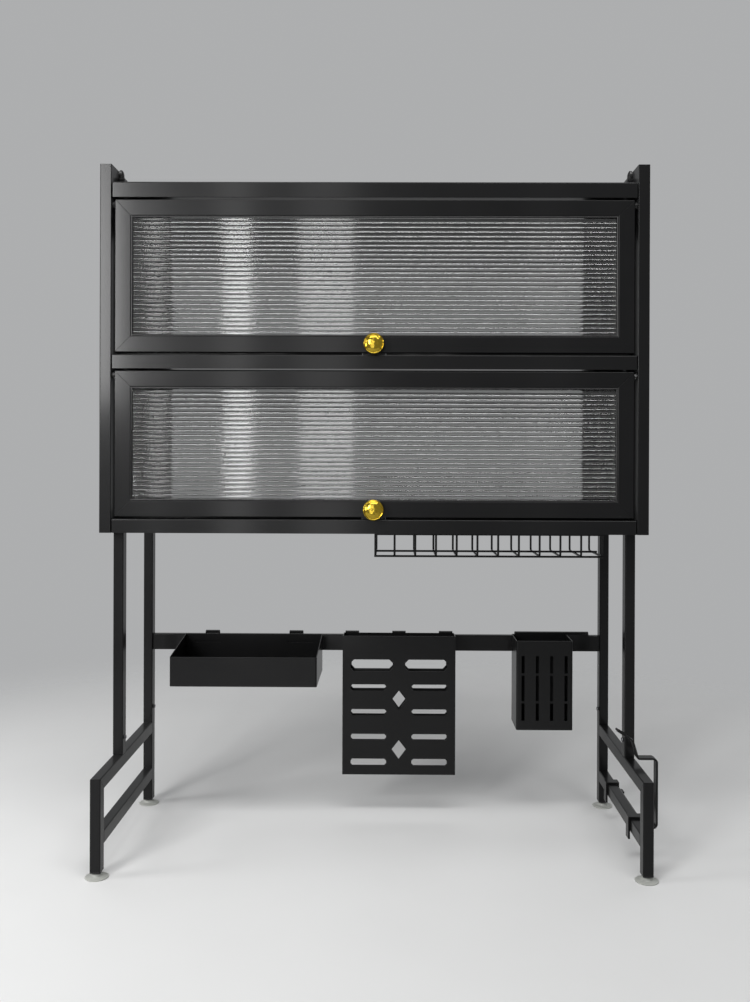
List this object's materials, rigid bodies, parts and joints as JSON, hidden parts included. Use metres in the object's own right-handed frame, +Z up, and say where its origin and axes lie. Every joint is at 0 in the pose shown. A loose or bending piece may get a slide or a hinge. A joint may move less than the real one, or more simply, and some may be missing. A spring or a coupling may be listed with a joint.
{
  "type": "dish drainer cabinet",
  "caption": "Free-standing over-sink dish drainer cabinet: flip-up fluted doors, open base frames, an accessory rail with hanging racks and a wire glass rack.",
  "frame": {"origin": "on the worktop at the bottom centre of the whole object, side rack included; the cabinet centre line is 7.75 mm to the left of it", "axes": "+Z up, -Y towards the user (doors), +X to the right of the user"},
  "size_m": [0.8654, 0.3494, 1.079],
  "materials": {
    "black_paint": "matte black powder coat on steel",
    "black_aluminium": "matte black coat on extruded aluminium",
    "clear_panel": "clear fluted acrylic, glossy",
    "brass": "polished",
    "black_plastic": "matte black moulding",
    "clear_rubber": "translucent soft pad",
    "zinc_steel": "dark plated steel"
  },
  "bodies": {
    "frame": {"accessory_rail": "black_paint", "base_front_leg_left": "black_paint", "base_front_leg_right": "black_paint", "base_lower_bar_left": "black_paint", "base_lower_bar_right": "black_paint", "base_rear_leg_left": "black_paint", "base_rear_leg_right": "black_paint", "base_top_bar_left": "black_paint", "base_top_bar_right": "black_paint", "bottom_shelf": "black_paint", "foot_pads": "clear_rubber", "foot_studs": "black_plastic", "front_post_left": "black_paint", "front_post_right": "black_paint", "glass_rack": "black_paint", "glass_rack_screws": "zinc_steel", "hinge_bushes": "black_plastic", "leg_plugs": "black_plastic", "lower_magnet_catch": "black_plastic", "middle_shelf": "black_paint", "post_caps": "black_plastic", "post_screws": "zinc_steel", "post_spigots": "black_paint", "rear_post_left": "black_paint", "rear_post_right": "black_paint", "roof_panel": "black_paint", "shelf_screws": "zinc_steel", "side_panel_left": "black_paint", "side_panel_right": "black_paint", "side_panel_screws": "zinc_steel", "upper_magnet_catch": "black_plastic"},
    "upper_door": {"upper_door_bottom_rail": "black_aluminium", "upper_door_corner_keys": "black_plastic", "upper_door_fluted_panel": "clear_panel", "upper_door_hinge_pins": "zinc_steel", "upper_door_knob": "brass", "upper_door_knob_screw": "zinc_steel", "upper_door_left_stile": "black_aluminium", "upper_door_right_stile": "black_aluminium", "upper_door_strike_plate": "zinc_steel", "upper_door_top_rail": "black_aluminium"},
    "lower_door": {"lower_door_bottom_rail": "black_aluminium", "lower_door_corner_keys": "black_plastic", "lower_door_fluted_panel": "clear_panel", "lower_door_hinge_pins": "zinc_steel", "lower_door_knob": "brass", "lower_door_knob_screw": "zinc_steel", "lower_door_left_stile": "black_aluminium", "lower_door_right_stile": "black_aluminium", "lower_door_strike_plate": "zinc_steel", "lower_door_top_rail": "black_aluminium"},
    "utensil_tray": {"utensil_tray": "black_paint"},
    "board_holder": {"board_holder": "black_paint"},
    "cutlery_cage": {"cutlery_cage": "black_paint"},
    "side_rack": {"side_rack": "black_paint"}
  },
  "joints": [
    {"name": "upper_door_hinge", "type": "hinge", "parent": "frame", "child": "upper_door", "pos_m": [-0.00775, -0.0795, 1.0136], "axis": [-1, 0, 0], "range_deg": [0, 90]},
    {"name": "lower_door_hinge", "type": "hinge", "parent": "frame", "child": "lower_door", "pos_m": [-0.00775, -0.0795, 0.74851], "axis": [-1, 0, 0], "range_deg": [0, 90]},
    {"name": "tray_slide", "type": "slide", "parent": "frame", "child": "utensil_tray", "axis": [1, 0, 0], "range_m": [-0.055, 0.015]},
    {"name": "board_holder_slide", "type": "slide", "parent": "frame", "child": "board_holder", "axis": [1, 0, 0], "range_m": [-0.015, 0.04]},
    {"name": "cage_slide", "type": "slide", "parent": "frame", "child": "cutlery_cage", "axis": [1, 0, 0], "range_m": [-0.045, 0.015]},
    {"name": "side_rack_slide", "type": "slide", "parent": "frame", "child": "side_rack", "axis": [0, -1, 0], "range_m": [-0.02, 0.055]}
  ]
}
